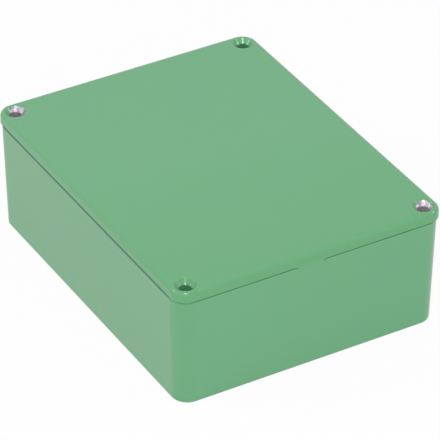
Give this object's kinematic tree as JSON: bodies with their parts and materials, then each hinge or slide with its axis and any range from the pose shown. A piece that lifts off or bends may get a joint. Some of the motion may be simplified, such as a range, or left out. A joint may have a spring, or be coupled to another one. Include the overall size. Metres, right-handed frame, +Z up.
{
  "type": "die cast aluminium box",
  "caption": "Powder coated cast metal box, rounded rectangular and slightly tapered, with a flat lid that laps over its rim and countersunk screw holes in the lid's corners.",
  "frame": {"origin": "middle of the underside of the base", "axes": "+X along the box's length, +Y across its width, +Z up out of the lid"},
  "size_m": [0.1194, 0.094, 0.042],
  "materials": {
    "base_coat": "smooth satin powder coat over cast aluminium",
    "lid_coat": "smooth satin powder coat over cast aluminium"
  },
  "bodies": {
    "root": {"base": "base_coat", "lid": "lid_coat"}
  },
  "joints": []
}
